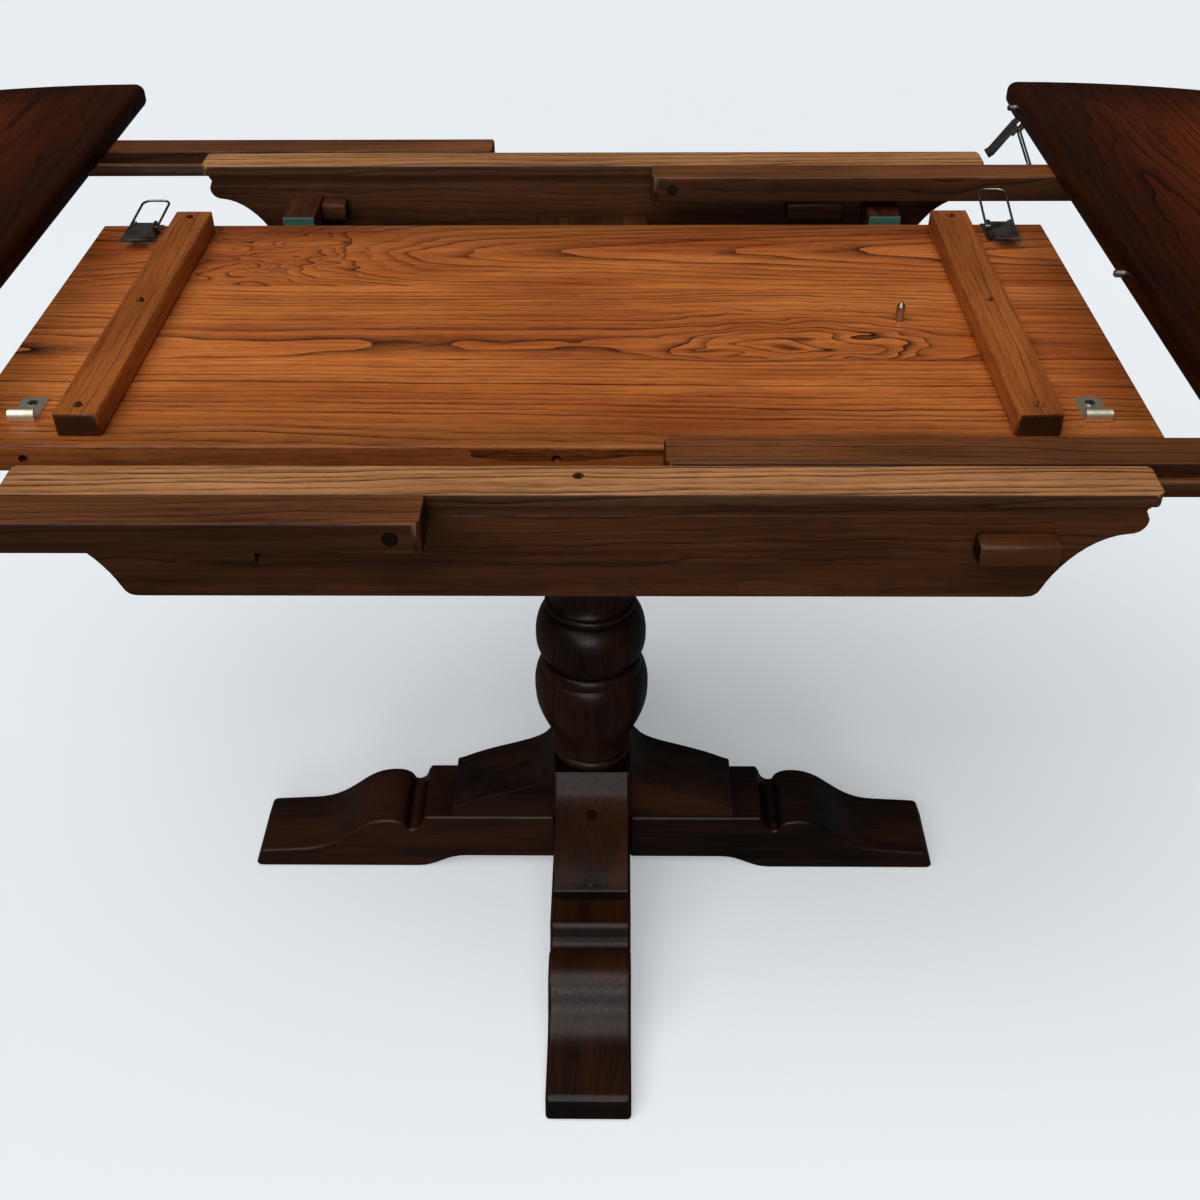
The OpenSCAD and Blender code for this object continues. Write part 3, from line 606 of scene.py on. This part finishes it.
# The same oak, straighter, with near-black end grain.
CLEAT_OAK = OakFinish("cleat_oak", "#C4702E", "#7A3812", "#1C0A04", ring_mm=5.0,
                      ring_depth=0.9, ring_power=4.0, pore_depth=0.7, patchy=1.1)
# Oak rubbed pale by the tops sliding over it, its sides darkened with painted shade.
STRIP_OAK = OakFinish("golden_oak", "#DE9C66", "#96602F", "#1C0A04", ring_mm=6.0,
                      ring_depth=1.7, ring_power=2.4, pore_depth=0.9, patchy=1.1,
                      side_painted_shade=0.86, warp_mm=8.0)
# Oak stained nearly black-brown; reddish in the middle, black towards the margin.
TOP_OAK = OakFinish("dark_oak", "#8A3C0C", "#4C1D04", "#070201", ring_mm=8.0,
                    ring_depth=1.0, roughness=0.3, shine=0.05, rim_mm=130.0, rim_dark=0.8,
                    patchy=1.1)
# Brown-stained oak, dull, with close straight lines.
RAIL_OAK = OakFinish("brown_oak", "#64391D", "#2E180B", "#0A0402", ring_mm=4.5, ring_depth=0.9,
                     pore_depth=0.7, patchy=1.2, shine=0.22)
# The same stain, paler on the runners; their sides darkened with painted shade, so the tops look
# lighter.
RUNNER_OAK = OakFinish("worn_oak", "#935931", "#502A14", "#0C0502", ring_mm=5.5, ring_depth=1.0,
                       pore_depth=0.75, patchy=1.3, shine=0.22, side_painted_shade=0.72)
# Oak gone nearly black, with a soft sheen and brown where it is worn.
BASE_OAK = OakFinish("blackened_oak", "#3E1F0D", "#0B0603", "#030201", ring_mm=6.0,
                     ring_depth=0.7, roughness=0.32, shine=0.3, patchy=1.8)
# Blued steel: dark, with small bright glints on edges and bends.
DARK_STEEL = MetalFinish("darkened_steel", "#B4ADA4", "#5A4E43", 0.26)
# Nickel plate gone yellowish: a bright cream lip over a grey plate.
NICKEL = MetalFinish("worn_nickel", "#FFF8E4", "#D8CFB4", 0.4)

# Boards from the near edge to the far one, chosen for where the rings surface.
LEAF_BOARDS = (
    Board(heart=-90, depth=45, slope=0.02, tone=0.65),
    Board(heart=-48, depth=34, slope=0.02, swell_at=210, swell=-30, tone=0.6),
    Board(heart=4, depth=40, slope=-0.06, swell_at=-300, swell=30, tone=0.4))
TOP_BOARDS = tuple(Board(heart=20 - 9 * i, depth=24 + 11 * (i % 3), slope=0.05 * (-1) ** i,
                         swell_at=-150 + 90 * i, swell=8 * (-1) ** i, tone=0.3 + 0.1 * (i % 4))
                   for i in range(5))


def dress_wood(node: str, body: str, finish: OakFinish, grain: Grain,
               ease_mm: float = 0.0, boards: tuple[Board, ...] = ()) -> bpy.types.Object:
    """Copy a wooden part with eased edges and give it its own board's grain.

    Args:
        node: The part.
        body: The moving body that carries the piece.
        finish: The oak it is finished as.
        grain: Which way its grain runs.
        ease_mm: Radius of its eased arrises.
        boards: Where its boards were cut, if that is chosen.

    Returns:
        The new object.
    """
    lo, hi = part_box(node)
    piece = eased_copy(node, body, ease_mm)
    piece.data.materials.clear()
    piece.data.materials.append(finish.material(node, grain, lo, hi, boards))
    LOG.info("%s: %d faces in %s", piece.name, len(piece.data.polygons), finish.name)
    return piece


# ---- Sub-assemblies ----

@dataclass
class Pedestal:
    """Turned post with its four feet and their brackets."""

    body: str = "base_frame"
    slot: str = "base_oak"
    post_ease: float = 3.0
    foot_ease: float = 6.0
    bracket_ease: float = 4.0

    def build(self) -> None:
        """Make and dress the post, feet and brackets."""
        dress_wood("post", self.body, BASE_OAK, Grain.UPRIGHT,
                   self.post_ease)
        for side in ("left", "right", "front", "back"):
            grain = Grain.ALONG_TABLE if side in ("left", "right") else Grain.ACROSS_TABLE
            dress_wood("foot_" + side, self.body, BASE_OAK, grain, self.foot_ease)
            dress_wood("bracket_" + side, self.body, BASE_OAK, grain,
                       self.bracket_ease)
        dress_wood("bracket_plugs", self.body, BASE_OAK, Grain.UPRIGHT)


@dataclass
class RailFrame:
    """Rails, strips, bearers and the blocks that stand on them."""

    body: str = "base_frame"
    slot: str = "rail_oak"
    rail_ease: float = 0.8
    bearer_ease: float = 2.0
    guide_ease: float = 1.5
    felt_ease: float = 0.8

    def build(self) -> None:
        """Make and dress the frame."""
        for side in ("front", "back"):
            dress_wood("rail_" + side, self.body, RAIL_OAK, Grain.ALONG_TABLE,
                       self.rail_ease)
            dress_wood("strip_" + side, self.body, STRIP_OAK, Grain.ALONG_TABLE)
            for row in ("outer", "inner"):
                dress_wood(f"{row}_stops_{side}", self.body, RAIL_OAK,
                           Grain.ALONG_TABLE)
        for side in ("left", "right"):
            dress_wood("bearer_" + side, self.body, RAIL_OAK, Grain.ACROSS_TABLE,
                       self.bearer_ease)
            dress_wood("guides_" + side, self.body, RAIL_OAK, Grain.ACROSS_TABLE,
                       self.guide_ease)
        dress_wood("head_beam", self.body, RAIL_OAK, Grain.ACROSS_TABLE,
                   self.bearer_ease)
        self.lay_felt()

    def lay_felt(self) -> None:
        """Make the four felt strips that lie on the bearers and turn up the guide blocks."""
        green = FeltFinish().material()
        source = bmesh.new()
        source.from_mesh(frame["nodes"]["felt_pads"].data)
        bmesh.ops.remove_doubles(source, verts=source.verts, dist=2e-6)
        pads = []
        for fx in (-1, 1):
            for fy in (-1, 1):
                bm = source.copy()
                bmesh.ops.delete(bm, geom=[v for v in bm.verts
                                           if (v.co.x - AXIS.x) * fx < 0 or v.co.y * fy < 0],
                                 context="VERTS")
                ease_edges(bm, self.felt_ease)
                pad = new_piece(f"felt_{len(pads) + 1}", bm, self.body)
                pad.data.materials.append(green)
                pads.append(pad)
        source.free()
        for pad in pads:
            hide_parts("felt_pads")
        LOG.info("felt: %d strips", len(pads))


@dataclass
class SlidingTops:
    """The two half-oval tops with their runners."""

    def build(self) -> None:
        """Make and dress both tops."""
        for side, row in (("left", "outer"), ("right", "inner")):
            body = side + "_top"
            dress_wood("top_" + side, body, TOP_OAK, Grain.ACROSS_TABLE,
                       boards=TOP_BOARDS)
            for hand in ("front", "back"):
                dress_wood(f"{row}_runner_{hand}", body, RUNNER_OAK,
                           Grain.ALONG_TABLE)
            dress_wood(row + "_pegs", body, BASE_OAK, Grain.ACROSS_TABLE)


@dataclass
class SpareLeaf:
    """The stored leaf with its two cleats."""

    body: str = "spare_leaf"
    slot: str = "leaf_oak"

    def build(self) -> None:
        """Make and dress the leaf."""
        dress_wood("leaf_panel", self.body, LEAF_OAK, Grain.ALONG_TABLE,
                   boards=LEAF_BOARDS)
        for side in ("left", "right"):
            dress_wood("cleat_" + side, self.body, CLEAT_OAK, Grain.ACROSS_TABLE)


@dataclass
class Fittings:
    """Latches, strikers, screws, dowels and the locating pin, each kept as it was designed."""

    steel_slot: str = "dark_steel"
    plate_slot: str = "nickel_plate"

    def build(self) -> None:
        """Give every steel and plated part its metal."""
        finishes = {self.steel_slot: DARK_STEEL.material(), self.plate_slot: NICKEL.material()}
        for entry in frame["record"]["subparts"]:
            metal = finishes.get(entry["material_slot"])
            if metal:
                part = frame["nodes"][entry["node"]]
                part.data.materials.clear()
                part.data.materials.append(metal)
                LOG.info("%s: %s", part.name, metal.name)


@dataclass
class Studio:
    """Pale floor, soft lights and the camera."""

    floor_colour: str = "#E6EBEF"
    floor_glow: float = 0.35
    floor_reach: float = 14.0
    fill_colour: tuple[float, float, float, float] = (0.95, 0.975, 1.0, 1.0)
    fill_strength: float = 0.07
    overhead_strength: float = 2.1
    overhead_spread_deg: float = 70.0
    overhead_lean_deg: tuple[float, float] = (24.0, -16.0)
    front_size: tuple[float, float] = (3.4, 1.7)
    front_watts: float = 98.0
    front_place: tuple[float, float, float] = (-0.5, -6.6, 2.1)  # from the post's foot
    front_aim: tuple[float, float, float] = (0.0, 0.0, 0.45)
    eye: tuple[float, float, float] = (0.0277, -1.1211, 1.2677)  # from the post's foot
    pitch_deg: float = 38.62
    yaw_deg: float = -0.905
    roll_deg: float = 0.464
    lens_mm: float = 41.27
    sensor_mm: float = 36.0
    sight_m: float = 60.0

    def build(self) -> None:
        """Set up the floor, the lights and the camera."""
        self.lay_floor()
        self.light()
        self.aim()

    def lay_floor(self) -> None:
        """Lay a plain pale floor that the polish doesn't mirror, so that dark wood stays dark."""
        bm = bmesh.new()
        bmesh.ops.create_grid(bm, x_segments=1, y_segments=1, size=self.floor_reach)
        mesh = bpy.data.meshes.new("floor")
        bm.to_mesh(mesh)
        bm.free()
        floor = bpy.data.objects.new("floor", mesh)
        bpy.context.scene.collection.objects.link(floor)
        mat = blank_material("pale_floor")
        add = partial(add_node, mat.node_tree)
        shader = add(PRINCIPLED, {
            "Base Color": linear(self.floor_colour), "Roughness": 0.9, "IOR": 1.45,
            "Specular IOR Level": 0.0, "Emission Color": linear(self.floor_colour),
            "Emission Strength": self.floor_glow})
        add(OUTPUT, {"Surface": shader})
        mesh.materials.append(mat)
        floor.visible_glossy = False
        floor.visible_diffuse = False

    def light(self) -> None:
        """Hang one very large soft light overhead and a low one in front."""
        scene = bpy.context.scene
        scene.view_settings.view_transform = "Standard"
        scene.world = bpy.data.worlds.new("studio")
        scene.world.use_nodes = True
        scene.world.node_tree.nodes.clear()
        add = partial(add_node, scene.world.node_tree)
        fill = add("ShaderNodeBackground", {"Color": self.fill_colour,
                                            "Strength": self.fill_strength})
        seen = add("ShaderNodeBackground", {"Color": linear(self.floor_colour),
                                            "Strength": 1.0})
        rays = add("ShaderNodeLightPath")
        mixed = add("ShaderNodeMixShader", (rays.outputs["Is Camera Ray"], fill, seen))
        add("ShaderNodeOutputWorld", {"Surface": mixed})

        overhead = bpy.data.lights.new("overhead", "SUN")
        overhead.energy = self.overhead_strength
        overhead.angle = math.radians(self.overhead_spread_deg)
        lamp = bpy.data.objects.new("overhead", overhead)
        lamp.rotation_euler = (*(math.radians(lean) for lean in self.overhead_lean_deg), 0)
        scene.collection.objects.link(lamp)
        # The tops cast no shadow from this light, so the floor under them stays pale.
        casters = bpy.data.collections.new("casters")
        for thing in scene.objects:
            if thing.type == "MESH" and not thing.name.startswith("top_"):
                casters.objects.link(thing)
        lamp.light_linking.blocker_collection = casters

        front = bpy.data.lights.new("front", "AREA")
        front.shape = "RECTANGLE"
        front.size, front.size_y = self.front_size
        front.energy = self.front_watts
        lamp = bpy.data.objects.new("front", front)
        lamp.location = Vector((AXIS.x, 0, 0)) + Vector(self.front_place)
        lamp.rotation_euler = (Vector(self.front_aim) - lamp.location).to_track_quat(
            "-Z", "Y").to_euler()
        scene.collection.objects.link(lamp)

    def aim(self) -> None:
        """Place the camera."""
        camera = bpy.data.cameras.new("camera")
        camera.lens = self.lens_mm
        camera.sensor_width = self.sensor_mm
        camera.clip_end = self.sight_m
        rig = bpy.data.objects.new("camera", camera)
        pitch, yaw, roll = (math.radians(angle)
                            for angle in (self.pitch_deg, self.yaw_deg, self.roll_deg))
        ahead = Vector((math.sin(yaw) * math.cos(pitch), math.cos(yaw) * math.cos(pitch),
                        -math.sin(pitch)))
        right = Vector((math.cos(yaw), -math.sin(yaw), 0.0))
        down = ahead.cross(right)
        turned_right = right * math.cos(roll) + down * math.sin(roll)
        turned_down = down * math.cos(roll) - right * math.sin(roll)
        turn = Matrix((turned_right, -turned_down, -ahead)).transposed()
        rig.matrix_world = Matrix.Translation(
            Vector(self.eye) + Vector((AXIS.x, AXIS.y, 0))) @ turn.to_4x4()
        bpy.context.scene.collection.objects.link(rig)
        bpy.context.scene.camera = rig


def main() -> None:
    """Build the table piece by piece, then the studio round it."""
    logging.basicConfig(level=logging.INFO, format="%(message)s")
    Pedestal().build()
    RailFrame().build()
    SlidingTops().build()
    SpareLeaf().build()
    Fittings().build()
    Studio().build()


if __name__ == "__main__":
    main()
